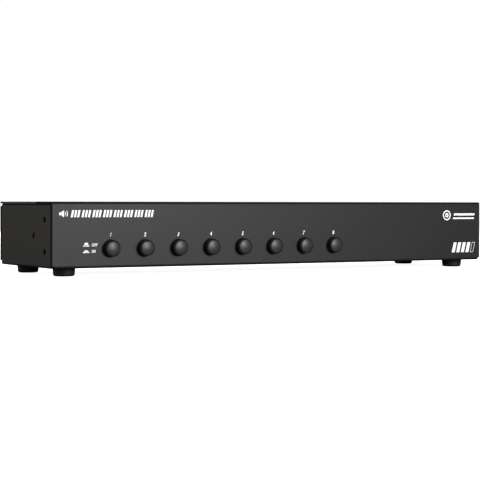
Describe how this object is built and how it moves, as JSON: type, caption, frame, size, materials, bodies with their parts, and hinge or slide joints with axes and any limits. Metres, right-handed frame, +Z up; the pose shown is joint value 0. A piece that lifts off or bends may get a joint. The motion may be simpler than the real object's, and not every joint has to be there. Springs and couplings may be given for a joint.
{
  "type": "speaker selector switch",
  "caption": "Low, wide black steel case on four feet with a row of push-push buttons that connect loudspeaker pairs, and screw terminals behind.",
  "frame": {"origin": "on the floor, under the middle of the unit's width and of its depth from button tips to terminals", "axes": "+X to the right seen from the front, +Y from front to rear, +Z up; the front faces -Y"},
  "size_m": [0.42, 0.1258, 0.0585],
  "materials": {
    "panel_paint": "fine-textured satin black powder coat",
    "chassis_paint": "satin black powder coat",
    "black_screw": "black oxide",
    "foot_rubber": "moulded, slightly dusty",
    "zinc_plate": "bright zinc plate",
    "circuit_board": "solder mask over glass laminate",
    "ceramic": "cast ceramic",
    "button_plastic": "satin moulded black",
    "slider_plastic": "natural acetal",
    "spring_steel": "bright drawn wire",
    "switch_plastic": "moulded dark grey",
    "tinned_contact": "tinned",
    "terminal_plastic": "moulded black",
    "brass_clamp": "plain brass"
  },
  "bodies": {
    "case": {"chassis_base": "chassis_paint", "front_panel": "panel_paint", "top_cover": "panel_paint", "rear_panel": "chassis_paint", "case_screws": "black_screw", "foot_front_left": "foot_rubber", "foot_front_right": "foot_rubber", "foot_rear_left": "foot_rubber", "foot_rear_right": "foot_rubber", "foot_screws": "zinc_plate", "rack_nuts": "zinc_plate", "main_board": "circuit_board", "board_standoffs": "zinc_plate", "board_screws": "zinc_plate", "series_resistor_left": "ceramic", "series_resistor_right": "ceramic", "return_spring_1": "spring_steel", "switch_body_1": "switch_plastic", "return_spring_2": "spring_steel", "switch_body_2": "switch_plastic", "return_spring_3": "spring_steel", "switch_body_3": "switch_plastic", "return_spring_4": "spring_steel", "switch_body_4": "switch_plastic", "return_spring_5": "spring_steel", "switch_body_5": "switch_plastic", "return_spring_6": "spring_steel", "switch_body_6": "switch_plastic", "return_spring_7": "spring_steel", "switch_body_7": "switch_plastic", "return_spring_8": "spring_steel", "switch_body_8": "switch_plastic", "switch_contacts": "tinned_contact", "amplifier_terminal": "terminal_plastic", "speaker_terminal_1": "terminal_plastic", "speaker_terminal_2": "terminal_plastic", "speaker_terminal_3": "terminal_plastic", "speaker_terminal_4": "terminal_plastic", "speaker_terminal_5": "terminal_plastic", "speaker_terminal_6": "terminal_plastic", "speaker_terminal_7": "terminal_plastic", "speaker_terminal_8": "terminal_plastic", "terminal_cages": "brass_clamp", "terminal_screws": "zinc_plate"},
    "button_1": {"button_cap_1": "button_plastic", "plunger_1": "slider_plastic"},
    "button_2": {"button_cap_2": "button_plastic", "plunger_2": "slider_plastic"},
    "button_3": {"button_cap_3": "button_plastic", "plunger_3": "slider_plastic"},
    "button_4": {"button_cap_4": "button_plastic", "plunger_4": "slider_plastic"},
    "button_5": {"button_cap_5": "button_plastic", "plunger_5": "slider_plastic"},
    "button_6": {"button_cap_6": "button_plastic", "plunger_6": "slider_plastic"},
    "button_7": {"button_cap_7": "button_plastic", "plunger_7": "slider_plastic"},
    "button_8": {"button_cap_8": "button_plastic", "plunger_8": "slider_plastic"}
  },
  "joints": [
    {"name": "press_1", "type": "slide", "parent": "case", "child": "button_1", "axis": [0, 1, 0], "range_m": [0, 0.0035], "stiffness_N_per_m": 300, "springref_m": -0.004, "deforming": ["return_spring_1"]},
    {"name": "press_2", "type": "slide", "parent": "case", "child": "button_2", "axis": [0, 1, 0], "range_m": [0, 0.0035], "stiffness_N_per_m": 300, "springref_m": -0.004, "deforming": ["return_spring_2"]},
    {"name": "press_3", "type": "slide", "parent": "case", "child": "button_3", "axis": [0, 1, 0], "range_m": [0, 0.0035], "stiffness_N_per_m": 300, "springref_m": -0.004, "deforming": ["return_spring_3"]},
    {"name": "press_4", "type": "slide", "parent": "case", "child": "button_4", "axis": [0, 1, 0], "range_m": [0, 0.0035], "stiffness_N_per_m": 300, "springref_m": -0.004, "deforming": ["return_spring_4"]},
    {"name": "press_5", "type": "slide", "parent": "case", "child": "button_5", "axis": [0, 1, 0], "range_m": [0, 0.0035], "stiffness_N_per_m": 300, "springref_m": -0.004, "deforming": ["return_spring_5"]},
    {"name": "press_6", "type": "slide", "parent": "case", "child": "button_6", "axis": [0, 1, 0], "range_m": [0, 0.0035], "stiffness_N_per_m": 300, "springref_m": -0.004, "deforming": ["return_spring_6"]},
    {"name": "press_7", "type": "slide", "parent": "case", "child": "button_7", "axis": [0, 1, 0], "range_m": [0, 0.0035], "stiffness_N_per_m": 300, "springref_m": -0.004, "deforming": ["return_spring_7"]},
    {"name": "press_8", "type": "slide", "parent": "case", "child": "button_8", "axis": [0, 1, 0], "range_m": [0, 0.0035], "stiffness_N_per_m": 300, "springref_m": -0.004, "deforming": ["return_spring_8"]}
  ]
}
